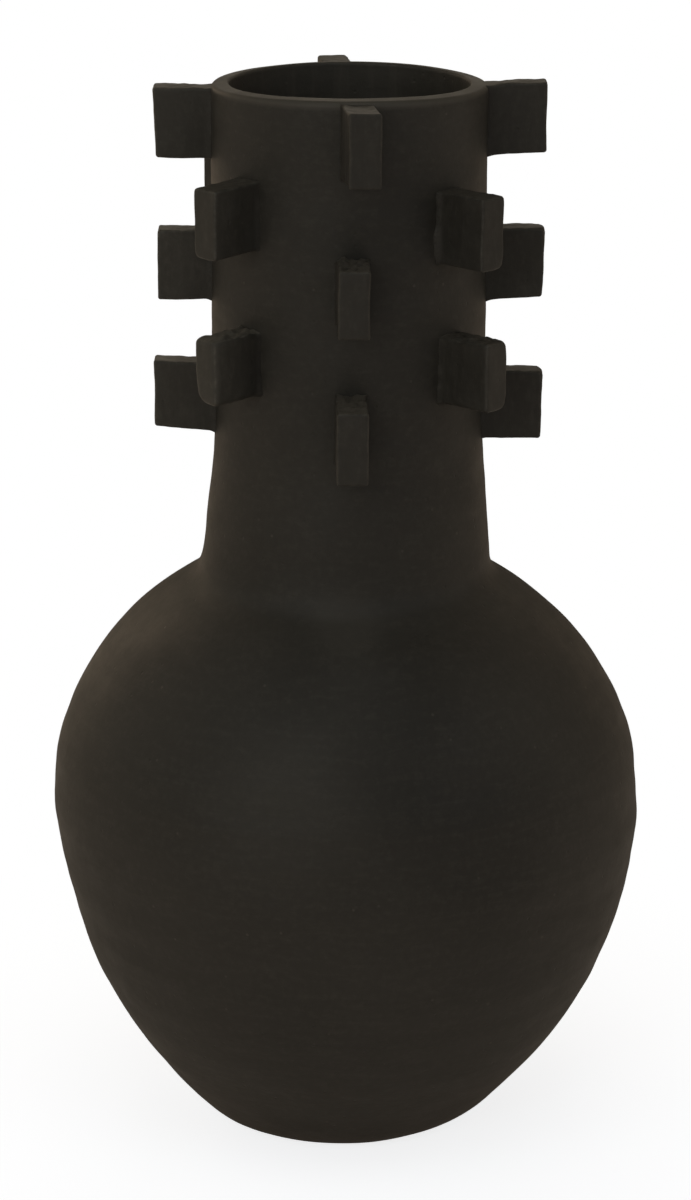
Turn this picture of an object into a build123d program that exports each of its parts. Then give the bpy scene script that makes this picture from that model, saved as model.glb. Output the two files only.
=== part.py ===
from build123d import *
from dataclasses import dataclass
import os

# Black clay vase with twenty tabs round its neck, in millimetres.
# The origin is the centre of the underside, +Z is up and the front faces -Y.
# Every wall section is turned about +Z, and the sections meet on scored joint faces.
# Their outlines are drawn on a plane between two tab columns, so that the seam where
# a turned wall closes on itself runs clear of every tab.

SECTION_PLANE = Plane.XZ.rotated((0, 0, 22.5))

# Overall size
HEIGHT = 450.0
WALL = 8.0

# Outline points below are (radius, level), and slopes are (outwards, upwards).

# Foot: a flat slab whose edge flares out to meet the belly
FOOT_RADIUS = 57.4
FOOT_THICKNESS = 10.0
FOOT_TOP_RADIUS = 69.5
FOOT_SLOPE = (1, 1.12)
FLOOR_RADIUS = 57.5
FLOOR_SLOPE = (-1, -0.8)

# Belly: two bowls joined rim to rim at the widest level
BELLY_RADIUS = 125.4
BELLY_LEVEL = 145.0
BELLY_BEVEL = 6.0
BOWL_LOW = (99.7, 50)
BOWL_MIDDLE = (113.8, 80)
BOWL_HIGH = (122.0, 110)
SHOULDER_LOW = (119.2, 180)
SHOULDER_MIDDLE = (105.5, 205)
SHOULDER_HIGH = (87.0, 225)

# Shoulder opening, where the neck stands
SHOULDER_RADIUS = 61.8
SHOULDER_LEVEL = 242.0
SHOULDER_SLOPE = (-1, 0.62)
OPENING_RADIUS = 56.0
OPENING_LEVEL = 234.5
CEILING_SLOPE = (1, -0.45)

# Neck: a slightly waisted tube with a straight round mouth
NECK_RADIUS = 56.8
STRAIGHT_LEVEL = 350.0
FLARE = (58.9, 269)
WAIST = (55.7, 312)
NECK_SLOPE = (-0.2, 1)
MOUTH_BORE_RADIUS = 49.3
BORE_LEVEL = 300.0
THROAT_SLOPE = (0.35, -1)
LIP_ROUNDING = 3.5

UP = (0, 1)
DOWN = (0, -1)

# Tabs: plain blocks of clay, luted to the neck by one end
TAB_THICKNESS = 12.7
TAB_HEIGHT = 28.5
TAB_REACH = 80.4
TAB_ROOT = 50.0
TAB_EDGE = 1.8

# Tab rows, as the height of a tab's top edge
TOP_ROW = 448.5
UPPER_ROW = 414.0
MIDDLE_ROW = 388.5
LOWER_ROW = 354.0
BOTTOM_ROW = 330.5

# Tab columns, in degrees round the neck from the front towards +X
FRONT = 0.0
FRONT_RIGHT = 45.0
RIGHT = 90.0
BACK_RIGHT = 135.0
BACK = 180.0
BACK_LEFT = 225.0
LEFT = 270.0
FRONT_LEFT = 315.0


@dataclass
class Tab:
    """One tab: its place on the neck, and how its block was cut and set by hand."""

    name: str
    azimuth: float
    top: float
    height: float = TAB_HEIGHT
    reach: float = TAB_REACH
    turn: float = 0.0  # degrees its outer end is swung round the vertical
    droop: float = 0.0  # how far its outer top edge lies below its root
    taper: float = 0.0  # how much shorter its outer end is than its root
    lean: float = 0.0  # how far its outer top edge stands out past the bottom one


TABS = [
    Tab("tab_front_top", FRONT + 2.7, TOP_ROW + 0.5, height=29.9, turn=4.5),
    Tab("tab_front_middle", FRONT + 1.5, MIDDLE_ROW, height=27.6, droop=1.3),
    Tab("tab_front_bottom", FRONT + 1.3, BOTTOM_ROW + 2.0, height=29.9, droop=2.5),
    Tab("tab_right_top", RIGHT, TOP_ROW + 0.6, height=28.7, droop=-0.7),
    Tab("tab_right_middle", RIGHT + 0.5, MIDDLE_ROW + 1.1, height=30.1, taper=1.4, lean=0.8),
    Tab("tab_right_bottom", RIGHT - 0.5, BOTTOM_ROW - 0.9, height=28.8, reach=80.8, lean=0.8),
    Tab("tab_back_top", BACK + 4.0, TOP_ROW, turn=4.0),
    Tab("tab_back_middle", BACK + 1.5, MIDDLE_ROW + 0.8, height=28.0, droop=1.0),
    Tab("tab_back_bottom", BACK - 1.0, BOTTOM_ROW + 0.6, height=29.0, turn=2.0),
    Tab("tab_left_top", LEFT, TOP_ROW - 1.2, height=28.9, reach=79.7, droop=-0.6, lean=1.0),
    Tab("tab_left_middle", LEFT - 0.5, MIDDLE_ROW + 0.4, height=29.1, reach=78.9),
    Tab("tab_left_bottom", LEFT + 0.5, BOTTOM_ROW + 2.4, height=29.7, reach=80.8, droop=-1.3, taper=1.8),
    Tab("tab_front_right_upper", FRONT_RIGHT, UPPER_ROW - 1.6, height=29.2, reach=80.8, droop=0.5),
    Tab("tab_front_right_lower", FRONT_RIGHT + 2.3, LOWER_ROW - 0.6, height=28.3, reach=81.5, droop=0.4),
    Tab("tab_back_right_upper", BACK_RIGHT + 2.5, UPPER_ROW + 0.5, height=28.0, droop=1.0),
    Tab("tab_back_right_lower", BACK_RIGHT + 4.5, LOWER_ROW - 0.5, height=28.8),
    Tab("tab_back_left_upper", BACK_LEFT + 1.0, UPPER_ROW, droop=0.8),
    Tab("tab_back_left_lower", BACK_LEFT - 3.7, LOWER_ROW + 0.8, height=28.0, taper=1.0),
    Tab("tab_front_left_upper", FRONT_LEFT - 1.2, UPPER_ROW + 2.6, height=27.9, turn=1.5, droop=1.8),
    Tab("tab_front_left_lower", FRONT_LEFT - 0.5, LOWER_ROW + 2.0, height=27.6, reach=81.0, droop=1.2),
]


def inside(outline, fraction):
    """The point a wall's thickness inside an outline, at a fraction of its length."""
    along = outline % fraction
    return outline @ fraction + Vector(-along.Y, along.X) * WALL


def waist_outline():
    """The neck's waisted outside, from the shoulder up to where it runs straight."""
    return Spline(
        (SHOULDER_RADIUS, SHOULDER_LEVEL),
        FLARE,
        WAIST,
        (NECK_RADIUS, STRAIGHT_LEVEL),
        tangents=[NECK_SLOPE, UP],
    )


# Foot: the flared slab that the pot stands on
with BuildPart() as foot_disc:
    with BuildSketch(SECTION_PLANE):
        with BuildLine():
            underside = Line((0, 0), (FOOT_RADIUS, 0))
            flare = TangentArc(
                (FOOT_TOP_RADIUS, FOOT_THICKNESS),
                underside @ 1,
                tangent=-Vector(FOOT_SLOPE),
            )
            top = Line(flare @ 0, (0, FOOT_THICKNESS))
            Line(top @ 1, underside @ 0)
        make_face()
    revolve(axis=Axis.Z)

# Lower belly: the bowl that stands on the foot's rim
with BuildPart() as belly_lower:
    with BuildSketch(SECTION_PLANE):
        with BuildLine():
            outer = Spline(
                (FOOT_TOP_RADIUS, FOOT_THICKNESS),
                BOWL_LOW,
                BOWL_MIDDLE,
                BOWL_HIGH,
                (BELLY_RADIUS, BELLY_LEVEL),
                tangents=[FOOT_SLOPE, UP],
            )
            bevel = Line(outer @ 1, (BELLY_RADIUS - WALL, BELLY_LEVEL + BELLY_BEVEL))
            inner = Spline(
                bevel @ 1,
                inside(outer, 0.65),
                inside(outer, 0.3),
                (FLOOR_RADIUS, FOOT_THICKNESS),
                tangents=[DOWN, FLOOR_SLOPE],
            )
            Line(inner @ 1, outer @ 0)
        make_face()
    revolve(axis=Axis.Z)

# Upper belly: the shoulder, closing in to the opening under the neck
with BuildPart() as belly_upper:
    with BuildSketch(SECTION_PLANE):
        with BuildLine():
            outer = Spline(
                (BELLY_RADIUS, BELLY_LEVEL),
                SHOULDER_LOW,
                SHOULDER_MIDDLE,
                SHOULDER_HIGH,
                (SHOULDER_RADIUS, SHOULDER_LEVEL),
                tangents=[UP, SHOULDER_SLOPE],
            )
            opening = Line(outer @ 1, (OPENING_RADIUS, OPENING_LEVEL))
            inner = Spline(
                opening @ 1,
                inside(outer, 0.75),
                inside(outer, 0.4),
                (BELLY_RADIUS - WALL, BELLY_LEVEL + BELLY_BEVEL),
                tangents=[CEILING_SLOPE, DOWN],
            )
            Line(inner @ 1, outer @ 0)
        make_face()
    revolve(axis=Axis.Z)

# Neck: the waisted tube, bevelled to sit in the shoulder, with a rounded lip
with BuildPart() as neck:
    with BuildSketch(SECTION_PLANE):
        with BuildLine():
            waist = waist_outline()
            outside_wall = Line(waist @ 1, (NECK_RADIUS, HEIGHT))
            lip = Line(outside_wall @ 1, (MOUTH_BORE_RADIUS, HEIGHT))
            bore = Line(lip @ 1, (MOUTH_BORE_RADIUS, BORE_LEVEL))
            throat = Spline(
                bore @ 1,
                (OPENING_RADIUS, OPENING_LEVEL),
                tangents=[DOWN, THROAT_SLOPE],
            )
            Line(throat @ 1, waist @ 0)
        make_face()
    revolve(axis=Axis.Z)
    fillet(neck.edges().filter_by(GeomType.CIRCLE).group_by(Axis.Z)[-1], LIP_ROUNDING)

# The neck as if it were solid, to hollow each tab's root to the curve it sits on
with BuildPart() as neck_core:
    with BuildSketch(SECTION_PLANE):
        with BuildLine():
            waist = waist_outline()
            Polyline(
                waist @ 1,
                (NECK_RADIUS, HEIGHT),
                (0, HEIGHT),
                (0, SHOULDER_LEVEL),
                waist @ 0,
            )
        make_face()
    revolve(axis=Axis.Z)

wall_sections = {
    "foot_disc": foot_disc,
    "belly_lower": belly_lower,
    "belly_upper": belly_upper,
    "neck": neck,
}

# Tabs: a four-cornered block, drawn from its side, rounded, and fitted to the neck
tab_blocks = {}
for tab in TABS:
    radial = Vector(0, -1, 0).rotate(Axis.Z, tab.azimuth)
    outward = radial.rotate(Axis.Z, tab.turn)
    seat = Plane(origin=radial * TAB_ROOT, x_dir=outward, z_dir=outward.rotate(Axis.Z, -90))
    length = tab.reach - TAB_ROOT
    bottom = tab.top - tab.height
    with BuildPart() as block:
        with BuildSketch(seat):
            with BuildLine():
                Polyline(
                    (0, tab.top),
                    (length + tab.lean / 2, tab.top - tab.droop),
                    (length - tab.lean / 2, bottom - tab.droop + tab.taper),
                    (0, bottom),
                    close=True,
                )
            make_face()
        extrude(amount=TAB_THICKNESS / 2, both=True)
        fillet(block.edges(), TAB_EDGE)
        add(neck_core.part, mode=Mode.SUBTRACT)
    tab_blocks[tab.name] = block

os.makedirs("parts", exist_ok=True)
for name, piece in {**wall_sections, **tab_blocks}.items():
    piece.part.label = name
    export_step(piece.part, f"parts/{name}.step")
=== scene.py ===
"""Black clay vase with tabs round its neck: the looks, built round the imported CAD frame.

Every CAD node is replaced by one hand-worked clay piece of the same name and size. The
wall sections are turned from the frame's own outline, the tabs from the frame's own
blocks, and one shared field of small hand marks bends all of them together, so that
the pieces still meet. Lengths are in metres.
"""
import math
import bpy
import numpy as np
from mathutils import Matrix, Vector, noise
from mathutils.bvhtree import BVHTree


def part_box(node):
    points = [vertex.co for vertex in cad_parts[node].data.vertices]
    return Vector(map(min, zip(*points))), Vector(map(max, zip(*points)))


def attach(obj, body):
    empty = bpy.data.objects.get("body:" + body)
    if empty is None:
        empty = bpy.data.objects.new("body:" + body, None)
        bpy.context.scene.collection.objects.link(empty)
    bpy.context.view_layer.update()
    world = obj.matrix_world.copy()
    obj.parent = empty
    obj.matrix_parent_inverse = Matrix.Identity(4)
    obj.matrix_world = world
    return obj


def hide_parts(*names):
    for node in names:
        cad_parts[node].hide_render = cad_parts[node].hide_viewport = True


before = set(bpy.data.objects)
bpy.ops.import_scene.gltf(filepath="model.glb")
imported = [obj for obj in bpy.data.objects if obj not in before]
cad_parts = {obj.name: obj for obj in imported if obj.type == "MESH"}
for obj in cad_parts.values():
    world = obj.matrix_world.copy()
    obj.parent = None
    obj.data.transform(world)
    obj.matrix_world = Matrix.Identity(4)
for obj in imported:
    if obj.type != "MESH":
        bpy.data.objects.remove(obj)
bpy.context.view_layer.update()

# The hand marks draw on this seed, so that every build of the vase is the same
NOISE_SEED = 7
noise.seed_set(NOISE_SEED)

MM = 0.001
WALLS = ("foot_disc", "belly_lower", "belly_upper", "neck")
TABS = sorted(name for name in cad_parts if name.startswith("tab_"))

# Levels and radii that the frame gives
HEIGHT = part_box("neck")[1].z
FLOOR_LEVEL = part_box("foot_disc")[1].z
BELLY_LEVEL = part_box("belly_upper")[0].z
BELLY_INSIDE_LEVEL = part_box("belly_lower")[1].z
SHOULDER_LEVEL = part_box("belly_upper")[1].z
THROAT_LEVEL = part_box("neck")[0].z
BELLY_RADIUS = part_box("belly_upper")[1].x

# How finely the frame's walls are read
RADIUS_SAMPLES = 16
READING_STEP = 1.5 * MM
CLEAR_OF_EDGE = 0.05 * MM

# How finely the walls are meshed
SEGMENTS = 288
OUTSIDE_STEP = 2.2 * MM
INSIDE_STEP = 4.0 * MM
LIP_STEP = 0.5 * MM
ARC_STEPS = 12

# The lip: a wide rounding outside, a small one over the bore, and a top that rises a
# little between them
LIP_OUTER = 2.3 * MM
LIP_INNER = 1.0 * MM
LIP_HEIGHT = LIP_OUTER + 0.4 * MM

# Corners of the outline rubbed soft, as (reach to either side, times rubbed)
FOOT_RUB = (5 * MM, 6)
NECK_RUB = (9 * MM, 10)
BOWL_RUB = (14 * MM, 8)


# ---------------------------------------------------------------- hand marks
# Sideways wander of the vase's axis, as (level, shift towards +X): it was never
# quite true on the wheel, and the neck leans a little to the right.
WANDER = (
    (0.000, -1.6 * MM),
    (0.010, -0.3 * MM),
    (0.060, 0.6 * MM),
    (0.115, 0.9 * MM),
    (0.150, -0.2 * MM),
    (0.200, -0.3 * MM),
    (0.228, -1.1 * MM),
    (0.262, 0.5 * MM),
    (0.300, 1.0 * MM),
    (0.450, 1.7 * MM),
)


def wander(level):
    """The axis's sideways shift at a level, eased between the points of WANDER."""
    for (low, start), (high, end) in zip(WANDER, WANDER[1:]):
        if level <= high:
            share = min(max((level - low) / (high - low), 0.0), 1.0)
            return start + (end - start) * share * share * (3 - 2 * share)
    return WANDER[-1][1]


# The rim isn't quite level: it sags to both sides, and leans back and to the right
RIM_SAG = 0.85 * MM
RIM_LEAN_RIGHT = 0.25 * MM
RIM_LEAN_BACK = 0.20 * MM
RIM_REACH = 40 * MM


def rim_lift(level, right, back):
    """How far the rim lies above its true level, at a place round the mouth given by
    its unit direction."""
    near = min(max(1 - (HEIGHT - level) / RIM_REACH, 0.0), 1.0)
    drop = RIM_SAG * right * right + RIM_LEAN_RIGHT * right + RIM_LEAN_BACK * back
    return -near * near * (3 - 2 * near) * drop


# Marks of the hand and the wheel: their height, and how often they vary per metre.
# Swells and patches lie anyhow.
SWELL_HEIGHT = 0.60 * MM
SWELLS_ACROSS = 14
SWELLS_UP = 18
PATCH_HEIGHT = 0.22 * MM
PATCHES_ACROSS = 42
PATCHES_UP = 55

# Rings and ridges run round the vase, and change a little from side to side. Rings are
# a little higher at the widest level, and ridges lie on the lower belly.
RING_HEIGHT = 0.20 * MM
WIDEST_RING_HEIGHT = 0.14 * MM
WIDEST_REACH = 60 * MM
RING_CHANGE = 0.8
RINGS_UP = 125
RIDGE_HEIGHT = 1.0 * MM
RIDGE_LEVEL = 115 * MM
RIDGE_REACH = 75 * MM
RIDGE_CHANGE = 0.6
RIDGES_UP = 62

# The marks' place in the noise. They fade out towards the vase's axis, and the
# underside was smoothed.
MARK_SEED = 3.7
AXIS_FADE = 20 * MM
UNDERSIDE_SHARE = 0.35


def hand_mark(point, seed):
    """How far a wall's surface stands out or in at a point: slow swells, scraped
    patches, and the rings and ridges left by turning."""
    x, y, z = point
    radius = math.hypot(x, y) + 1e-9
    right, back = x / radius, y / radius
    swell = noise.noise((x * SWELLS_ACROSS + seed, y * SWELLS_ACROSS, z * SWELLS_UP))
    patch = noise.noise((x * PATCHES_ACROSS, y * PATCHES_ACROSS + seed, z * PATCHES_UP))
    ring = noise.noise((right * RING_CHANGE + seed, back * RING_CHANGE, z * RINGS_UP))
    ridge = noise.noise((right * RIDGE_CHANGE + seed, back * RIDGE_CHANGE, z * RIDGES_UP))
    widest = max(0.0, 1 - abs(z - BELLY_LEVEL) / WIDEST_REACH)
    low = max(0.0, 1 - abs(z - RIDGE_LEVEL) / RIDGE_REACH)
    rings = (RING_HEIGHT + WIDEST_RING_HEIGHT * widest) * ring
    return SWELL_HEIGHT * swell + PATCH_HEIGHT * patch + rings + RIDGE_HEIGHT * low * ridge


# ---------------------------------------------------------------- wall outline
def wall_tree():
    """One search tree over the frame's wall sections."""
    corners, faces = [], []
    for name in WALLS:
        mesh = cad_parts[name].data
        start = len(corners)
        corners += [v.co.copy() for v in mesh.vertices]
        faces += [[start + i for i in p.vertices] for p in mesh.polygons]
    return BVHTree.FromPolygons(corners, faces)


def wall_radius(tree, level, outside):
    """The wall's radius at a level, from outside or inside, averaged round the vase.
    The samples start off the axes, to miss the mesh's own seams."""
    found = []
    for k in range(RADIUS_SAMPLES):
        angle = 2 * math.pi * (k + 0.37) / RADIUS_SAMPLES
        out = Vector((math.cos(angle), math.sin(angle), 0))
        start = out * (2 * BELLY_RADIUS) if outside else Vector((0, 0, 0))
        start.z = level
        hit = tree.ray_cast(start, -out if outside else out)[0]
        if hit is not None:
            found.append(math.hypot(hit.x, hit.y))
    return sum(found) / len(found)


def respace(points, step):
    """The same line with evenly spaced points, both ends kept."""
    points = np.array(points)
    along = np.concatenate([[0], np.cumsum(np.hypot(*np.diff(points, axis=0).T))])
    count = max(2, round(along[-1] / step) + 1)
    even = np.linspace(0, along[-1], count)
    return np.stack([np.interp(even, along, points[:, k]) for k in (0, 1)], 1)


def soften(points, centre, reach, times):
    """Rounds the outline off near a corner, over a reach to either side of it."""
    gap = np.hypot(*(points - np.array(centre)).T)
    weight = 0.5 * np.clip(1 - gap / reach, 0, 1)[:, None]
    weight[0] = weight[-1] = 0
    for _ in range(times):
        middle = (np.roll(points, 1, 0) + np.roll(points, -1, 0)) / 2
        points = points + (middle - points) * weight
    return points


def trace(tree, low, high, outside, step):
    """The outline between two levels, going up."""
    count = max(3, int((high - low) / READING_STEP))
    levels = np.linspace(low + CLEAR_OF_EDGE, high - CLEAR_OF_EDGE, count)
    points = [(wall_radius(tree, z, outside), z) for z in levels]
    points[0] = (points[0][0], low)
    points[-1] = (points[-1][0], high)
    return respace(points, step)


def arc(radius, level, size, start, end):
    """Points round part of a circle, between two angles in degrees."""
    turns = np.radians(np.linspace(start, end, ARC_STEPS + 1))
    return [(radius + size * math.cos(t), level + size * math.sin(t)) for t in turns]


def lip_outline(outer, inner, level, step):
    """The lip: rounded off outside, nearly flat on top, and crisp over the bore."""
    crown = level + LIP_HEIGHT - LIP_INNER
    points = arc(outer - LIP_OUTER, level, LIP_OUTER, 0, 90)
    points += arc(inner + LIP_INNER, crown, LIP_INNER, 90, 180)
    return respace(points + [(inner, level)], step)


def skin_outline():
    """The whole skin as one outline of (radius, level), from the centre of the
    underside over the outside, the lip and the inside to the centre of the floor,
    and the index of each place where two wall sections meet."""
    tree = wall_tree()
    lip_level = HEIGHT - LIP_HEIGHT
    sections, joints = [], {}

    def add(points, name=None):
        if sections:
            points = points[1:]
        sections.append(points)
        if name:
            joints[name] = sum(len(s) for s in sections) - 1

    foot = trace(tree, 0, FLOOR_LEVEL, True, OUTSIDE_STEP)
    add(respace([(0, 0), foot[0]], 3 * OUTSIDE_STEP))
    add(foot, "foot_out")
    add(trace(tree, FLOOR_LEVEL, BELLY_LEVEL, True, OUTSIDE_STEP), "belly_out")
    add(trace(tree, BELLY_LEVEL, SHOULDER_LEVEL, True, OUTSIDE_STEP), "shoulder_out")
    neck = trace(tree, SHOULDER_LEVEL, lip_level, True, OUTSIDE_STEP)
    add(neck)
    bore = trace(tree, THROAT_LEVEL, lip_level, False, INSIDE_STEP)[::-1]
    add(lip_outline(neck[-1][0], bore[0][0], lip_level, LIP_STEP))
    add(bore, "shoulder_in")
    add(trace(tree, BELLY_INSIDE_LEVEL, THROAT_LEVEL, False, INSIDE_STEP)[::-1], "belly_in")
    bowl = trace(tree, FLOOR_LEVEL, BELLY_INSIDE_LEVEL, False, INSIDE_STEP)[::-1]
    add(bowl, "foot_in")
    add(respace([bowl[-1], (0, FLOOR_LEVEL)], 2 * INSIDE_STEP))
    outline = np.concatenate(sections)
    outline = soften(outline, foot[0], *FOOT_RUB)
    outline = soften(outline, neck[0], *NECK_RUB)
    outline = soften(outline, bowl[-1], *BOWL_RUB)
    return outline, joints


def skin_grid(outline):
    """The outline turned about the axis and marked by hand: every point's place, as an
    array of (outline point, segment, xyz)."""
    ahead = np.gradient(outline, axis=0)
    normal = np.stack([ahead[:, 1], -ahead[:, 0]], 1)
    normal /= np.hypot(*normal.T)[:, None]
    angles = np.linspace(0, 2 * math.pi, SEGMENTS, endpoint=False)
    turn = np.stack([np.cos(angles), np.sin(angles)], 1)
    place = np.zeros((len(outline), SEGMENTS, 3))
    for i, ((radius, level), (out, up)) in enumerate(zip(outline, normal)):
        shift = wander(level)
        fade = min(1.0, radius / AXIS_FADE) * (UNDERSIDE_SHARE if level < 1e-6 else 1.0)
        for j, (c, s) in enumerate(turn):
            mark = fade * hand_mark((radius * c, radius * s, level), MARK_SEED)
            r = radius + mark * out
            lift = mark * up + rim_lift(level, c, s)
            place[i, j] = (r * c + shift, r * s, level + lift)
    place[:, :, 2] = np.maximum(place[:, :, 2], 0)
    return place


def grid_normals(place):
    """Smooth normals of the turned skin, the same for every section that shares a row."""
    along = np.gradient(place, axis=0)
    around = np.roll(place, -1, 1) - np.roll(place, 1, 1)
    normal = np.cross(around, along)
    length = np.linalg.norm(normal, axis=2, keepdims=True)
    return normal / np.maximum(length, 1e-12)


def wall_piece(name, section, place, normals):
    """A closed wall section made of rows of the skin, in loop order. A row at the
    axis becomes one point, and otherwise the last row closes onto the first."""
    corners, shading, starts = [], [], []
    for row in section:
        pole = np.ptp(place[row, :, 0]) < 1e-6
        starts.append((len(corners), pole))
        for j in range(1 if pole else SEGMENTS):
            corners.append(place[row, j])
            shading.append(normals[row, j])
    faces = []
    pairs = list(zip(starts, starts[1:]))
    if not starts[0][1]:
        pairs.append((starts[-1], starts[0]))
    for (a, a_pole), (b, b_pole) in pairs:
        for j in range(SEGMENTS):
            k = (j + 1) % SEGMENTS
            if a_pole:
                faces.append((a, b + k, b + j))
            elif b_pole:
                faces.append((a + j, a + k, b))
            else:
                faces.append((a + j, a + k, b + k, b + j))
    mesh = bpy.data.meshes.new(name)
    mesh.from_pydata(corners, [], faces)
    mesh.shade_smooth()
    mesh.normals_split_custom_set_from_vertices(shading)
    return place_piece(name, mesh, CLAY_WALL, 1.0, WALL_TOP_DUST_AND_LIGHT)


def place_piece(name, mesh, material, painted_light_and_shade, top_dust_and_light):
    """Puts a finished mesh in the scene, in place of the CAD node of the same name. The
    material reads the piece's painted light and shade, and how much dust and painted top
    light lies on its upper faces."""
    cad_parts[name].name = "cad_" + name
    piece = bpy.data.objects.new(name, mesh)
    bpy.context.scene.collection.objects.link(piece)
    mesh.materials.append(material)
    piece.color = (painted_light_and_shade, painted_light_and_shade, painted_light_and_shade, top_dust_and_light)
    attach(piece, "root")
    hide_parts(name)
    return piece


# ---------------------------------------------------------------- tabs
# Which triangles of a CAD block count as a flat face: how nearly they face its way, as
# a cosine, and the smallest area, as its round edges and slivers are all smaller
SQUARE_ON = 0.95
FLAT_ON = 0.99
FLAT_AREA = 8 * MM * MM


def measure_tab(name):
    """A tab's own axes, and its corners as (out, level), from the flat faces of its
    CAD block."""
    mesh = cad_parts[name].data
    points = np.array([v.co for v in mesh.vertices])
    centre = points.mean(0)
    radial = np.array([centre[0], centre[1], 0])
    radial /= np.linalg.norm(radial)
    tangent = np.array([-radial[1], radial[0], 0])
    side = np.zeros(3)
    for polygon in mesh.polygons:
        facing = np.array(polygon.normal)
        lean = facing @ tangent
        if abs(lean) > SQUARE_ON:
            side += facing * math.copysign(polygon.area, lean)
    side[2] = 0
    side /= np.linalg.norm(side)
    out = np.array([side[1], -side[0], 0])

    def flat_face(direction):
        picked = set()
        for polygon in mesh.polygons:
            if polygon.area > FLAT_AREA and np.array(polygon.normal) @ direction > FLAT_ON:
                picked.update(polygon.vertices)
        face = points[sorted(picked)]
        return face @ out, face[:, 2]

    up = np.array([0, 0, 1])
    top_slope, top_level = np.polyfit(*flat_face(up), 1)
    bottom_slope, bottom_level = np.polyfit(*flat_face(-up), 1)
    end_out, end_level = flat_face(out)
    end_slope, end_place = np.polyfit(end_level, end_out, 1)
    root = (points @ out).min()
    across = points @ side

    def tip(slope, level):
        place = (end_slope * level + end_place) / (1 - end_slope * slope)
        return place, slope * place + level

    return {
        "side": side,
        "out": out,
        "middle": (across.max() + across.min()) / 2,
        "thickness": across.max() - across.min(),
        "root": root,
        "root_top": top_slope * root + top_level,
        "root_bottom": bottom_slope * root + bottom_level,
        "tip_top": tip(top_slope, top_level),
        "tip_bottom": tip(bottom_slope, bottom_level),
    }


# How finely a tab is meshed, along its faces and over its rounded edges
TAB_SPACING = 1.0 * MM
EDGE_STEPS = 5


def stops(length, rounding, spacing):
    """Places along one edge of a block, closer together over its rounded ends."""
    quarter = [math.pi / 2 * k / EDGE_STEPS for k in range(EDGE_STEPS)]
    ends = [rounding * (1 - math.cos(turn)) for turn in quarter]
    inner = length - 2 * rounding
    count = max(2, round(inner / spacing))
    middle = [rounding + inner * k / count for k in range(count + 1)]
    return ends + middle + [length - e for e in reversed(ends)]


def block_mesh(sizes, rounding, spacing):
    """A closed grid over a sharp-edged box, from -half to +half of each size."""
    lines = [np.array(stops(s, rounding, spacing)) - s / 2 for s in sizes]
    counts = [len(line) for line in lines]
    index, corners, faces = {}, [], []

    def corner(key):
        if key not in index:
            index[key] = len(corners)
            corners.append([lines[axis][key[axis]] for axis in range(3)])
        return index[key]

    for axis in range(3):
        a, b = (axis + 1) % 3, (axis + 2) % 3
        for end in (0, counts[axis] - 1):
            for i in range(counts[a] - 1):
                for j in range(counts[b] - 1):
                    quad = []
                    for di, dj in ((0, 0), (1, 0), (1, 1), (0, 1)):
                        key = [0, 0, 0]
                        key[axis], key[a], key[b] = end, i + di, j + dj
                        quad.append(corner(tuple(key)))
                    faces.append(quad if end else quad[::-1])
    return np.array(corners), faces


def round_off(corners, sizes, radii):
    """Rounds a box's edges and corners, each point by its own radius."""
    core = np.array(sizes) / 2 - radii[:, None]
    nearest = np.clip(corners, -core, core)
    away = corners - nearest
    length = np.linalg.norm(away, axis=1, keepdims=True)
    return nearest + away / np.maximum(length, 1e-12) * radii[:, None]


# The root reaches into the neck, nearly sharp, and the edges soften away from it
ROOT_DEPTH = 1.6 * MM
ROOT_ROUNDING = 0.8 * MM
ROOT_REACH = 4 * MM

# A worn corner's rounding fades out at this many times its radius
CORNER_REACH = 2.6

# Slip squeezed out round the root: its reach, its share on the wiped upper side, its
# mean, and how unevenly it lies
BEAD_REACH = 3.0 * MM
BEAD_ABOVE = 0.3
BEAD_MEAN = 0.55
BEAD_UNEVEN = 0.65
BEADS_ACROSS = 260
BEADS_UP = 190

# Unevenness of a tab's faces, broad and fine: its height, and times per metre
BROAD_HEIGHT = 0.38 * MM
BROAD_SCALE = 75
FINE_HEIGHT = 0.10 * MM
FINE_SCALE = 300

# Tears in a tab's top: times per metre along and across it, deeper towards the root
TEARS_ALONG = 330
TEARS_ACROSS = 420
TEAR_AT_ROOT = 0.35

# Powers that keep the sunk part near the root, and the hollow and the tears near the
# top, and how much of the tab's length the marks near an end take to fade
SINK_POWER = 4
HOLLOW_POWER = 8
TEAR_POWER = 12
END_FADE = 1 / 3

# Painted shade on the sides reaches from the root along this share of a tab, and worn edges are
# this wide
PAINTED_ROOT_SHADE_REACH = 0.9
WORN_BAND = 1.0 * MM
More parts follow.
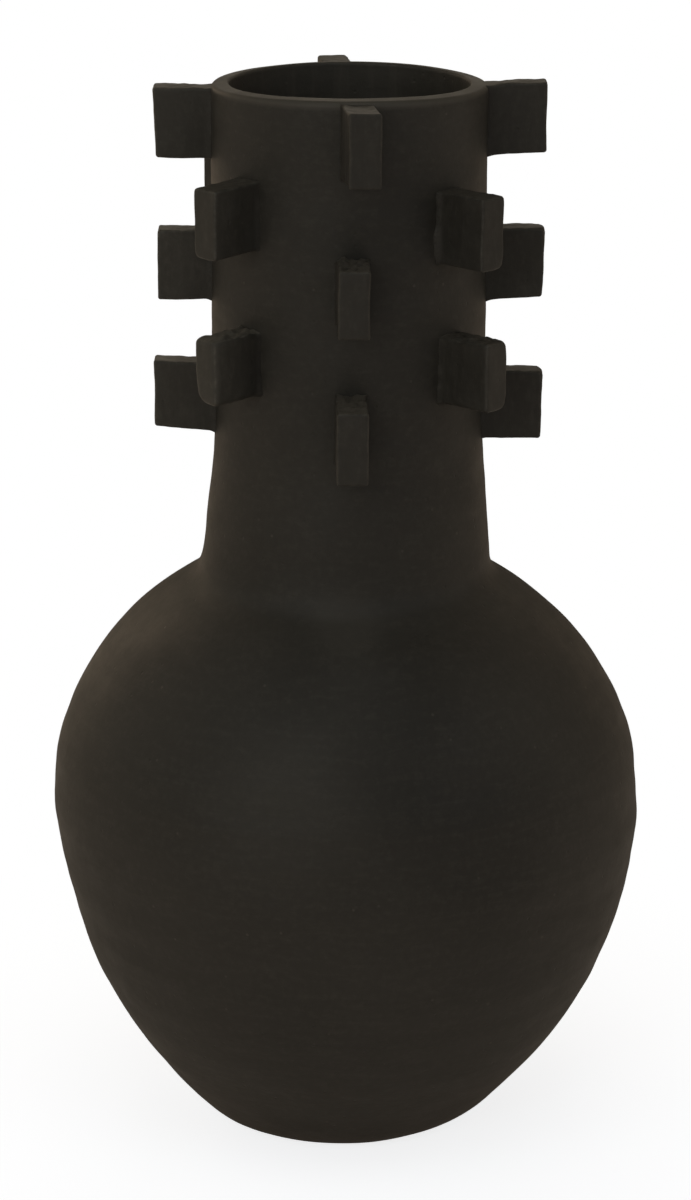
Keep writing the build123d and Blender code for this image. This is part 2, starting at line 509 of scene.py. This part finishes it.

# How each tab was finished by hand, and the light and shade painted on it, where it differs from
# the plain ones
#   edge: how soft its edges are
#   bead: how thick the slip round its root is
#   corners: rounding of its outer corners, keyed (side, up), side +1 counter-clockwise
#   hollow, sink, torn: how far its top dips in the middle and at the root, and is torn
#   painted_root_shade: how dark its sides are painted at the root, as painted shade
#   top_dust_and_light: how much dust and painted top light lies on its top
#   painted_light_and_shade: how much lighter or darker the tab is painted, for the light that
#       falls on it
PLAIN = {
    "edge": 1.2 * MM,
    "bead": 1.0 * MM,
    "corners": {},
    "hollow": 0.0,
    "sink": 0.0,
    "torn": 0.3 * MM,
    "painted_root_shade": 0.28,
    "top_dust_and_light": 0.40,
    "painted_light_and_shade": 1.0,
}
HAND = {
    "tab_front_top": {"hollow": 1.0 * MM, "painted_root_shade": 0.05, "top_dust_and_light": 0.2, "painted_light_and_shade": 0.97},
    "tab_front_middle": {
        "hollow": 0.5 * MM,
        "torn": 2.0 * MM,
        "painted_root_shade": 0.0,
        "top_dust_and_light": 0.8,
        "painted_light_and_shade": 0.95,
    },
    "tab_front_bottom": {"hollow": 0.5 * MM, "torn": 1.0 * MM, "painted_root_shade": 0.0, "top_dust_and_light": 0.9},
    "tab_front_left_upper": {
        "edge": 1.1 * MM,
        "bead": 1.1 * MM,
        "corners": {(-1, 1): 1.4 * MM, (-1, -1): 2.0 * MM},
        "painted_root_shade": 0.35,
        "top_dust_and_light": 0.15,
        "painted_light_and_shade": 1.30,
    },
    "tab_front_left_lower": {
        "edge": 2.6 * MM,
        "bead": 0.8 * MM,
        "corners": {(-1, 1): 2.6 * MM, (-1, -1): 5.6 * MM},
        "torn": 1.4 * MM,
        "painted_root_shade": 0.62,
        "painted_light_and_shade": 1.70,
    },
    "tab_front_right_upper": {
        "edge": 1.0 * MM,
        "bead": 2.2 * MM,
        "corners": {(1, 1): 1.6 * MM, (1, -1): 2.4 * MM},
        "painted_root_shade": 0.05,
        "painted_light_and_shade": 0.90,
    },
    "tab_front_right_lower": {
        "edge": 1.5 * MM,
        "bead": 1.0 * MM,
        "corners": {(1, 1): 2.7 * MM, (1, -1): 3.0 * MM},
        "torn": 1.2 * MM,
        "painted_root_shade": 0.0,
        "painted_light_and_shade": 1.06,
    },
    "tab_right_top": {"sink": 0.8 * MM},
    "tab_right_middle": {
        "edge": 1.1 * MM,
        "corners": {(-1, 1): 2.8 * MM, (1, 1): 2.8 * MM},
        "sink": 0.4 * MM,
    },
    "tab_right_bottom": {"corners": {(-1, 1): 3.0 * MM, (1, 1): 3.0 * MM}, "top_dust_and_light": 0.55},
    "tab_left_top": {"painted_root_shade": 0.35, "painted_light_and_shade": 1.35},
    "tab_left_middle": {
        "edge": 1.0 * MM,
        "corners": {(1, 1): 1.8 * MM},
        "painted_root_shade": 0.45,
        "painted_light_and_shade": 1.62,
    },
    "tab_left_bottom": {"painted_root_shade": 0.40, "top_dust_and_light": 0.8, "painted_light_and_shade": 1.60},
    "tab_back_middle": {"edge": 1.5 * MM, "corners": {(1, 1): 2.6 * MM}},
    "tab_back_left_upper": {"edge": 1.4 * MM, "corners": {(-1, -1): 3.0 * MM}},
    "tab_back_right_lower": {"edge": 1.6 * MM, "corners": {(1, 1): 2.8 * MM, (-1, -1): 2.2 * MM}},
}


def corner_radii(corners, sizes, hand):
    """The rounding at every point of a block: soft edges, rounder worn corners, and
    a nearly sharp root."""
    half = np.array(sizes) / 2
    radii = np.full(len(corners), hand["edge"])
    for (side, up), radius in hand["corners"].items():
        corner = half * (1, side, up)
        gap = np.linalg.norm(corners - corner, axis=1)
        near = np.clip(1 - gap / (CORNER_REACH * radius), 0, 1)
        radii += (radius - hand["edge"]) * near * near * (3 - 2 * near)
    inside = np.clip((corners[:, 0] + half[0]) / ROOT_REACH, 0, 1)
    return ROOT_ROUNDING + (radii - ROOT_ROUNDING) * inside


def slip_bead(reach, v, w, hand, seed):
    """How thick the slip lies at a point of a tab, at a reach from the neck."""
    smear = BEAD_MEAN + BEAD_UNEVEN * noise.noise((v * BEADS_ACROSS + seed, w * BEADS_UP, seed))
    return hand["bead"] * smear * max(0.0, 1 - max(reach, 0.0) / BEAD_REACH) ** 2


def unevenness(point, seed):
    """How far a tab's face is pushed out of place at a point."""
    u, v, w = point
    broad = (u * BROAD_SCALE + seed, v * BROAD_SCALE, w * BROAD_SCALE)
    fine = (u * FINE_SCALE, v * FINE_SCALE + seed, w * FINE_SCALE)
    return noise.noise_vector(broad) * BROAD_HEIGHT + noise.noise_vector(fine) * FINE_HEIGHT


def top_drop(point, halves, rise, outer, hand, seed):
    """How far a tab's top lies below its straight line at a point: sunk at the root,
    hollow in the middle, and torn. It all dies out below the top."""
    u, v, _ = point
    along = max(1 - (u / halves[0]) ** 2, 0)
    across = max(1 - (v / halves[1]) ** 2, 0)
    sunk = hand["sink"] * (1 - outer) ** SINK_POWER
    hollow = hand["hollow"] * along * across * rise ** HOLLOW_POWER
    tear = noise.noise((u * TEARS_ALONG, v * TEARS_ACROSS + seed, 0.5))
    tear -= TEAR_AT_ROOT * (1 - outer)
    torn = hand["torn"] * tear * rise ** TEAR_POWER * min((1 - outer) / END_FADE, 1.0)
    return sunk + hollow - torn


def tab_piece(name, seed):
    """A block of clay pressed onto the neck: its edges softened by the fingers, its
    faces a little uneven, its top torn, and its root smeared out where slip luted it on.
    Points run u outwards, v to the side and w up, from the middle of the block."""
    tab = measure_tab(name)
    hand = {**PLAIN, **HAND.get(name, {})}
    tip_out = (tab["tip_top"][0] + tab["tip_bottom"][0]) / 2
    length = tip_out - tab["root"] + ROOT_DEPTH
    height = tab["root_top"] - tab["root_bottom"]
    sizes = (length, tab["thickness"], height)
    halves = np.array(sizes) / 2
    sharp, faces = block_mesh(sizes, hand["edge"], TAB_SPACING)
    rounded = round_off(sharp, sizes, corner_radii(sharp, sizes, hand))
    base = tab["side"] * tab["middle"]
    points, painted_root_shade, slip, worn = [], [], [], []
    for (u, v, w), corner in zip(rounded, sharp):
        reach = u + halves[0] - ROOT_DEPTH
        share = reach / (length - ROOT_DEPTH)
        outer = min(max(share, 0.0), 1.0)
        # slip smeared out round the root
        bead = slip_bead(reach, v, w, hand, seed)
        v *= 1 + bead / halves[1]
        w *= 1 + bead * (BEAD_ABOVE if w > 0 else 1.0) / halves[2]
        # the block's own slope, taper and lean
        rise = (w / halves[2] + 1) / 2
        top = tab["root_top"] + (tab["tip_top"][1] - tab["root_top"]) * outer
        bottom = tab["root_bottom"] + (tab["tip_bottom"][1] - tab["root_bottom"]) * outer
        end = tab["tip_bottom"][0] + (tab["tip_top"][0] - tab["tip_bottom"][0]) * rise
        # uneven faces, and the top as it was left
        push = unevenness((u, v, w), seed)
        level = bottom + (top - bottom) * rise + push.z
        level -= top_drop((u, v, w), halves, rise, outer, hand, seed)
        flat = tab["out"] * (tab["root"] + (end - tab["root"]) * share + push.x * outer)
        flat = flat + base + tab["side"] * (v + push.y)
        points.append((flat[0] + wander(level), flat[1], level))
        # what the material reads: painted shade towards the root, slip, and worn edges
        painted_root_shade.append(hand["painted_root_shade"] * max(0.0, 1 - outer / PAINTED_ROOT_SHADE_REACH))
        slip.append(bead / hand["bead"])
        from_edge = sorted(halves - abs(corner))[1]
        worn.append(max(0.0, 1 - from_edge / WORN_BAND) * min(outer / END_FADE, 1.0))
    mesh = bpy.data.meshes.new(name)
    mesh.from_pydata(points, [], faces)
    mesh.shade_smooth()
    for label, values in (("painted_root_shade", painted_root_shade), ("slip", slip), ("worn", worn)):
        mesh.attributes.new(label, "FLOAT", "POINT").data.foreach_set("value", values)
    return place_piece(name, mesh, CLAY_TAB, hand["painted_light_and_shade"], hand["top_dust_and_light"])


# ---------------------------------------------------------------- clay
class Graph:
    """A short way to write the nodes of a material or a world."""

    def __init__(self, owner):
        owner.use_nodes = True
        self.tree = owner.node_tree
        self.tree.nodes.clear()

    def node(self, kind, inputs=None, **settings):
        made = self.tree.nodes.new(kind)
        for key, value in settings.items():
            setattr(made, key, value)
        for key, value in (inputs or {}).items():
            socket = made.inputs[key]
            if isinstance(value, bpy.types.NodeSocket):
                self.tree.links.new(value, socket)
            else:
                socket.default_value = value
        return made

    def math(self, operation, a, b=0.0):
        return self.node("ShaderNodeMath", {0: a, 1: b}, operation=operation).outputs[0]

    def vector(self, operation, a, b=(0, 0, 0)):
        """A vector operation. Its result is a vector, or the length of one."""
        made = self.node("ShaderNodeVectorMath", {0: a, 1: b}, operation=operation)
        return made.outputs["Value" if operation in ("LENGTH", "DISTANCE") else "Vector"]

    def part(self, vector, axis):
        return self.node("ShaderNodeSeparateXYZ", {0: vector}).outputs[axis]

    def attribute(self, name):
        return self.node("ShaderNodeAttribute", attribute_name=name).outputs["Fac"]

    def noise(self, vector, scale, detail, roughness):
        made = self.node(
            "ShaderNodeTexNoise",
            {"Vector": vector, "Scale": scale, "Detail": detail, "Roughness": roughness},
        )
        return made.outputs["Fac"]

    def span(self, value, low, high, to_low=0.0, to_high=1.0, interpolation="LINEAR"):
        """A value's place between low and high, taken to between to_low and to_high."""
        made = self.node(
            "ShaderNodeMapRange",
            {0: value, 1: low, 2: high, 3: to_low, 4: to_high},
            interpolation_type=interpolation,
        )
        return made.outputs["Result"]

    def mix(self, fac, a, b, blend="MIX"):
        made = self.node("ShaderNodeMix", {0: fac, 6: a, 7: b}, data_type="RGBA", blend_type=blend)
        return made.outputs[2]


# black, used only for the painted shade at the tab roots
PAINTED_SHADE_BLACK = (0, 0, 0, 1)
CLAY_DARK = (0.0195, 0.0186, 0.0152, 1)
CLAY_PALE = (0.0400, 0.0378, 0.0322, 1)
# pale dust, also used as painted light on the tops, the lip and the foot
DUST_AND_PAINTED_LIGHT = (0.085, 0.079, 0.066, 1)

# The layers of the clay's pattern, as (times per metre, detail, roughness)
CLOUD = (16, 3.0, 0.55)
PATCH = (70, 4.0, 0.6)
MOTTLE = (330, 4.0, 0.65)
GRAIN = (1300, 3.0, 0.7)
STREAK = (380, 4.0, 0.65)
BROAD_STREAK = (100, 3.0, 0.55)
TORN_SLIP = (900, 2.0, 0.6)
DRIBBLE = (170, 3.0, 0.6)
PORES_PER_METRE = 240

# How far the clouds, patches and streaks drift, and how often the drift varies
DRIFT = 6 * MM
DRIFT_SCALE = 30.0

# How far streaks are drawn out: round the walls, up a cut tab, and down the bore
TURNED_STREAK = 0.016
CUT_STREAK = 0.22
BORE_STREAK = 0.08

# Share of each layer in the clay's tone and in its relief: walls first, then tabs
TONE_SHARES = {
    "cloud": (0.36, 0.36),
    "patch": (0.38, 0.38),
    "mottle": (0.48, 0.48),
    "grain": (0.30, 0.30),
    "streak": (0.22, 0.50),
    "broad_streak": (0.46, 0.46),
}
RELIEF_SHARES = {
    "streak": (1.1, 1.1),
    "broad_streak": (1.0, 0.4),
    "mottle": (1.0, 1.0),
    "grain": (0.40, 0.40),
    "pore": (-1.6, -1.6),
}
RELIEF_HEIGHT = 0.12 * MM

# How much dust and painted top light lies on the up-facing parts of the walls
WALL_TOP_DUST_AND_LIGHT = 0.10

# Curves that turn one value into another, as (low, high, result at low, result at
# high), where the results are 0 and 1 if not given. First the ones by place.
# painted light from the floor, paler towards the foot
FOOT_PAINTED_BOUNCE_LIGHT = (14 * MM, 2 * MM, 0.0, 0.24)
# a painted highlight on the top of the lip, strongest in front
LIP_PAINTED_HIGHLIGHT = (HEIGHT - 4 * MM, HEIGHT - 2 * MM, 0.0, 0.66)
LIP_FRONT = (40 * MM, -40 * MM)
BORE = (51.5 * MM, 50.0 * MM)
FACES_UP = (0.75, 0.98)
PAINTED_ROOT_SHADE_SIDES = (0.5, 0.9, 1.0, 0.0)

# Then the ones by layer
TONE_TO_CLAY = (0.15, 0.85)
TORN_TONE = (0.35, 0.65, -0.50, 0.60)
WISPS = (0.25, 0.42, 0.0, 0.12)
TOP_DUST_AND_LIGHT_PATCHES = (0.35, 0.60, 0.6, 1.3)
WORN_PATCHES = (0.40, 0.62, 0.08, 0.50)
DRIBBLES = (0.50, 0.72, 0.20, 0.55)
HOLES = (0.06, 0.20, 1.0, 0.0)
PORE_CHANCE = (0.78, 0.80)
SPECK_CHANCE = (0.955, 0.965)
SPECK_PALE = 0.55

# The low sheen, its unevenness, and the strength of the relief
SHEEN = (0.75, 1.25, 0.50, 0.62)
SHEEN_GRAIN = 0.06
RELIEF_STRENGTH = 0.70

# Paler and darker patches on the walls: smoke clouds of the firing, and painted highlight
# and painted shade, as (azimuth from the front towards +X, level, radius, strength)
SMOKE_CLOUDS_AND_PAINTED_LIGHT = (
    (-64, 0.222, 0.030, -0.22),
    (-38, 0.214, 0.034, 0.02),
    (0, 0.238, 0.022, 0.46),
    (-10, 0.221, 0.030, -0.30),
    (16, 0.219, 0.032, -0.30),
    (-12, 0.173, 0.046, 0.24),
    (8, 0.196, 0.036, -0.20),
    (27, 0.155, 0.055, -0.24),
    (52, 0.175, 0.045, -0.10),
    (-88, 0.150, 0.044, 0.32),
    (-84, 0.070, 0.050, -0.30),
    (-10, 0.420, 0.060, -0.14),
    (0, 0.345, 0.050, -0.10),
    (-12, 0.075, 0.050, -0.10),
    (38, 0.300, 0.045, -0.16),
    (22, 0.390, 0.050, -0.16),
    (150, 0.170, 0.060, 0.24),
    (205, 0.110, 0.060, -0.22),
    (255, 0.190, 0.050, 0.16),
    (110, 0.100, 0.050, -0.16),
)


def smoke_and_painted_light_tone(g, place):
    """The sum of the placed patches at a point: smoke clouds, and painted highlight and shade."""
    tree = wall_tree()
    total = 0.0
    for azimuth, level, radius, strength in SMOKE_CLOUDS_AND_PAINTED_LIGHT:
        out = wall_radius(tree, level, True)
        turn = math.radians(azimuth)
        centre = (out * math.sin(turn), -out * math.cos(turn), level)
        gap = g.vector("DISTANCE", place, centre)
        near = g.span(gap, radius, 0.2 * radius, 0.0, strength, "SMOOTHSTEP")
        total = g.math("ADD", near, total)
    return total


def streak_place(g, place, turned):
    """Coordinates that stretch a noise into streaks: level ones round the turned walls,
    and upright ones where a tab was cut with a wire."""
    if not turned:
        return g.vector("MULTIPLY", place, (1, 1, CUT_STREAK))
    spoke = g.vector("NORMALIZE", g.vector("MULTIPLY", place, (1, 1, 0)))
    right = g.math("MULTIPLY", g.part(spoke, "X"), TURNED_STREAK)
    back = g.math("MULTIPLY", g.part(spoke, "Y"), TURNED_STREAK)
    level = g.part(place, "Z")
    return g.node("ShaderNodeCombineXYZ", {"X": right, "Y": back, "Z": level}).outputs[0]


def clay_layers(g, place, turned):
    """The layers of the clay's pattern, and where its clouds have drifted to."""
    varied = {"Vector": place, "Scale": DRIFT_SCALE, "Detail": 2.0}
    drift = g.node("ShaderNodeTexNoise", varied).outputs["Color"]
    drift = g.vector("SUBTRACT", drift, (0.5, 0.5, 0.5))
    drifted = g.vector("ADD", place, g.vector("MULTIPLY", drift, (DRIFT, DRIFT, DRIFT)))
    streaks = streak_place(g, drifted, turned)
    cells = g.node("ShaderNodeTexVoronoi", {"Vector": place, "Scale": PORES_PER_METRE})
    chance = g.node("ShaderNodeSeparateColor", {0: cells.outputs["Color"]})
    hole = g.span(cells.outputs["Distance"], *HOLES)
    layers = {
        "cloud": g.noise(drifted, *CLOUD),
        "patch": g.noise(drifted, *PATCH),
        "mottle": g.noise(place, *MOTTLE),
        "grain": g.noise(place, *GRAIN),
        "streak": g.noise(streaks, *STREAK),
        "broad_streak": g.noise(streaks, *BROAD_STREAK),
        "pore": g.math("MULTIPLY", hole, g.span(chance.outputs["Red"], *PORE_CHANCE)),
        "speck": g.math("MULTIPLY", hole, g.span(chance.outputs["Green"], *SPECK_CHANCE)),
    }
    return layers, drifted


def blended(g, layers, shares, turned, start, centre):
    """A start value plus each layer's swing about a centre, times its share."""
    total = start
    for name, (on_walls, on_tabs) in shares.items():
        swing = g.math("SUBTRACT", layers[name], centre)
        share = on_walls if turned else on_tabs
        total = g.math("ADD", total, g.math("MULTIPLY", swing, share))
    return total


def wall_finish(g, base, place):
    """Painted light from the floor round the foot, a painted highlight on the front of the lip,
    and dribbles down the bore.
    """
    level = g.part(place, "Z")
    # painted light from the floor: paler towards the foot
    base = g.mix(g.span(level, *FOOT_PAINTED_BOUNCE_LIGHT), base, DUST_AND_PAINTED_LIGHT)
    # painted highlight on the top of the lip, strongest in front
    lip = g.span(level, *LIP_PAINTED_HIGHLIGHT)
    forward = g.span(g.part(place, "Y"), *LIP_FRONT)
    base = g.mix(g.math("MULTIPLY", lip, forward), base, DUST_AND_PAINTED_LIGHT)
    radius = g.vector("LENGTH", g.vector("MULTIPLY", place, (1, 1, 0)))
    bore = g.span(radius, *BORE)
    upright = g.vector("MULTIPLY", place, (1, 1, BORE_STREAK))
    dribble = g.span(g.noise(upright, *DRIBBLE), *DRIBBLES)
    return g.mix(g.math("MULTIPLY", bore, dribble), base, DUST_AND_PAINTED_LIGHT)


def tab_finish(g, base, mottle, upward):
    """Painted shade on the sides towards the root, and worn, paler edges."""
    # painted shade: the sides, not the top, darkened towards the root
    painted_root_shade = g.math("MULTIPLY", g.attribute("painted_root_shade"), g.span(upward, *PAINTED_ROOT_SHADE_SIDES))
    base = g.mix(painted_root_shade, base, PAINTED_SHADE_BLACK)
    worn = g.math("MULTIPLY", g.attribute("worn"), g.span(mottle, *WORN_PATCHES))
    return g.mix(worn, base, DUST_AND_PAINTED_LIGHT)


def clay_material(name, turned):
    """Unglazed black clay, rubbed to a low sheen: smoky clouds, mottling, fine grain,
    pores and specks, with level streaks from the rib on the turned walls and upright
    ones on the cut tabs. Some clouds, the tops, the lip, the foot, the tab roots and
    each tab's tone carry painted light and shade."""
    material = bpy.data.materials.new(name)
    g = Graph(material)
    place = g.node("ShaderNodeTexCoord").outputs["Object"]
    upward = g.part(g.node("ShaderNodeNewGeometry").outputs["Normal"], "Z")
    own = g.node("ShaderNodeObjectInfo").outputs
    layers, drifted = clay_layers(g, place, turned)
    mottle = layers["mottle"]

    # dark to pale
    tone = blended(g, layers, TONE_SHARES, turned, 0.5, 0.5)
    if turned:
        # placed patches: smoke clouds, and painted highlight and shade
        tone = g.math("ADD", tone, smoke_and_painted_light_tone(g, drifted))
    else:
        torn = g.span(g.noise(place, *TORN_SLIP), *TORN_TONE)
        tone = g.math("ADD", tone, g.math("MULTIPLY", g.attribute("slip"), torn))
    base = g.mix(g.span(tone, *TONE_TO_CLAY), CLAY_DARK, CLAY_PALE)

    # wisps, specks, and dust and painted top light on what faces up
    wisp = g.span(g.math("MULTIPLY", layers["streak"], mottle), *WISPS)
    base = g.mix(wisp, base, DUST_AND_PAINTED_LIGHT)
    base = g.mix(g.math("MULTIPLY", layers["speck"], SPECK_PALE), base, DUST_AND_PAINTED_LIGHT)
    # dust and painted top light: faces that point up are painted paler
    top_dust_and_light_mask = g.math("MULTIPLY", g.span(upward, *FACES_UP), own["Alpha"])
    top_dust_and_light_mask = g.math("MULTIPLY", top_dust_and_light_mask, g.span(mottle, *TOP_DUST_AND_LIGHT_PATCHES))
    base = g.mix(top_dust_and_light_mask, base, DUST_AND_PAINTED_LIGHT)

    base = wall_finish(g, base, place) if turned else tab_finish(g, base, mottle, upward)
    # each piece's painted light and shade: its tone raised or lowered for the light that falls on
    # that tab
    base = g.mix(1.0, base, own["Color"], "MULTIPLY")

    # sheen and relief
    uneven = g.math("ADD", layers["patch"], layers["broad_streak"])
    rough = g.span(uneven, *SHEEN)
    rough = g.math("ADD", rough, g.math("MULTIPLY", layers["grain"], SHEEN_GRAIN))
    relief = blended(g, layers, RELIEF_SHARES, turned, 0.0, 0.0)
    raised = {"Strength": RELIEF_STRENGTH, "Distance": RELIEF_HEIGHT, "Height": relief}
    bump = g.node("ShaderNodeBump", raised).outputs[0]
    shader = g.node(
        "ShaderNodeBsdfPrincipled",
        {"Base Color": base, "Roughness": rough, "Specular IOR Level": 0.5, "Normal": bump},
    )
    g.node("ShaderNodeOutputMaterial", {"Surface": shader.outputs[0]})
    return material


CLAY_WALL = clay_material("black_clay_turned", True)
CLAY_TAB = clay_material("black_clay_block", False)


# ---------------------------------------------------------------- the vase
outline, joints = skin_outline()
place = skin_grid(outline)
normals = grid_normals(place)


def rows(start, end):
    """The rows of the skin from one place to another. A place is a joint's name, or the
    centre of the underside or of the floor inside."""
    ends = {"underside": 0, "floor": len(outline) - 1, **joints}
    return list(range(ends[start], ends[end] + 1))


foot_rows = rows("underside", "foot_out") + rows("foot_in", "floor")
lower_rows = rows("foot_out", "belly_out") + rows("belly_in", "foot_in")
upper_rows = rows("belly_out", "shoulder_out") + rows("shoulder_in", "belly_in")
neck_rows = rows("shoulder_out", "shoulder_in")
for name, section in zip(WALLS, (foot_rows, lower_rows, upper_rows, neck_rows)):
    wall_piece(name, section, place, normals)

# Every tab draws its unevenness from a different part of the noise
FIRST_TAB_SEED = 11.3
TAB_SEED_STEP = 7.1
for number, name in enumerate(TABS):
    tab_piece(name, FIRST_TAB_SEED + TAB_SEED_STEP * number)


# ---------------------------------------------------------------- studio
COOL = (0.94, 0.96, 1.0)
NEUTRAL = (1.0, 0.97, 0.88)
SAND = (1.0, 0.88, 0.71)
WARM = (1.0, 0.78, 0.56)

# Softboxes round the vase, as (name, place, width, height, power in watts, colour): pale
# ones in front and above, and warm ones behind that draw the lit edges of the clay
SOFTBOXES = (
    ("key_left", (-1.1, -1.0, 1.0), 0.9, 1.2, 1.8, NEUTRAL),
    ("key_front", (-0.5, -1.45, 0.95), 0.45, 0.45, 1.3, NEUTRAL),
    ("fill_right", (1.1, -1.1, 0.9), 0.9, 1.2, 1.5, COOL),
    ("front_low", (-0.35, -1.55, 0.6), 1.6, 0.6, 1.4, NEUTRAL),
    ("front_top", (0, -0.7, 1.7), 1.2, 0.6, 2.3, NEUTRAL),
    ("top", (0, 0.1, 1.8), 1.2, 1.2, 1.3, SAND),
    ("side_left", (-1.3, 0.25, 0.8), 0.9, 1.4, 2.3, SAND),
    ("side_right", (1.4, 0.1, 0.7), 0.8, 1.4, 2.1, SAND),
    ("back", (0, 1.4, 0.95), 1.0, 0.5, 1.7, SAND),
    ("back_left", (-0.9, 1.1, 0.65), 0.5, 1.1, 2.3, WARM),
    ("back_right", (0.9, 1.1, 0.7), 0.5, 1.6, 1.28, WARM),
)

# The floor: what it throws back up at the clay, and how it looks to the camera
FLOOR_RADIUS = 4.0
FLOOR_GREY = (0.80, 0.80, 0.80, 1)
TABLE_GLOW = (0.090, 0.065, 0.046, 1)
GLOW_REACH = (0.15, 0.60)
GLOW_STRENGTH = (1.10, 1.38)
SHADOW_TINT = (3.2, 3.5, 4.1, 1)
SHADOW_REACH = (0.06, 0.30)
SHADOW_HIDDEN = (0.80, 1.0)
WHITE = (1, 1, 1, 1)


def white_world():
    """White to the camera only: all the light comes from the softboxes and the floor."""
    world = bpy.data.worlds.new("studio")
    bpy.context.scene.world = world
    g = Graph(world)
    dark = g.node("ShaderNodeBackground", {"Strength": 0.0})
    white = g.node("ShaderNodeBackground", {"Color": WHITE})
    camera_ray = g.node("ShaderNodeLightPath").outputs["Is Camera Ray"]
    seen = g.node("ShaderNodeMixShader", {0: camera_ray, 1: dark.outputs[0], 2: white.outputs[0]})
    g.node("ShaderNodeOutputWorld", {"Surface": seen.outputs[0]})


def softbox(name, place, width, height, power, colour):
    """One rectangular softbox, aimed at the middle of the vase."""
    light = bpy.data.lights.new(name, "AREA")
    light.shape = "RECTANGLE"
    light.size, light.size_y = width, height
    light.energy = power
    light.color = colour
    lamp = bpy.data.objects.new(name, light)
    lamp.location = place
    aim = Vector((0, 0, HEIGHT / 2)) - Vector(place)
    lamp.rotation_euler = aim.to_track_quat("-Z", "Y").to_euler()
    lamp.visible_camera = False
    bpy.context.scene.collection.objects.link(lamp)


def floor():
    """A pale floor that fades into the white background, with a faint soft shadow."""
    bpy.ops.mesh.primitive_circle_add(vertices=96, radius=FLOOR_RADIUS, fill_type="TRIFAN")
    sheet = bpy.context.object
    sheet.name = "floor"
    material = bpy.data.materials.new("pale_floor")
    g = Graph(material)
    place = g.node("ShaderNodeTexCoord").outputs["Object"]
    distance = g.vector("LENGTH", place)
    # what the clay sees: a pale table that glows a little more further out
    pale = g.node("ShaderNodeBsdfDiffuse", {"Color": FLOOR_GREY})
    strength = g.span(distance, *GLOW_REACH, *GLOW_STRENGTH)
    glow = g.node("ShaderNodeEmission", {"Color": TABLE_GLOW, "Strength": strength})
    lit = g.node("ShaderNodeAddShader", {0: pale.outputs[0], 1: glow.outputs[0]})
    # what the camera sees: white, with a little of the shadow near the foot
    shaded = g.node("ShaderNodeBsdfDiffuse", {"Color": SHADOW_TINT})
    white = g.node("ShaderNodeEmission", {"Color": WHITE, "Strength": 1.0})
    hidden = g.span(distance, *SHADOW_REACH, *SHADOW_HIDDEN, "SMOOTHSTEP")
    seen = g.node("ShaderNodeMixShader", {0: hidden, 1: shaded.outputs[0], 2: white.outputs[0]})
    camera_ray = g.node("ShaderNodeLightPath").outputs["Is Camera Ray"]
    surface = g.node("ShaderNodeMixShader", {0: camera_ray, 1: lit.outputs[0], 2: seen.outputs[0]})
    g.node("ShaderNodeOutputMaterial", {"Surface": surface.outputs[0]})
    sheet.data.materials.append(material)


# The viewing angle: in front of the vase, above it, and looking down
CAMERA_PLACE = (0, -1.400, 0.664)
CAMERA_DOWN = 17.3
CAMERA_LENS = 103.1
CAMERA_SENSOR = 36


def camera():
    """The camera, which looks straight at the vase's front and down by some degrees."""
    data = bpy.data.cameras.new("camera")
    data.sensor_width = CAMERA_SENSOR
    data.lens = CAMERA_LENS
    cam = bpy.data.objects.new("camera", data)
    cam.location = CAMERA_PLACE
    cam.rotation_euler = (math.radians(90 - CAMERA_DOWN), 0, 0)
    bpy.context.scene.collection.objects.link(cam)
    bpy.context.scene.camera = cam


white_world()
floor()
for settings in SOFTBOXES:
    softbox(*settings)
camera()
bpy.context.scene.view_settings.view_transform = "Standard"
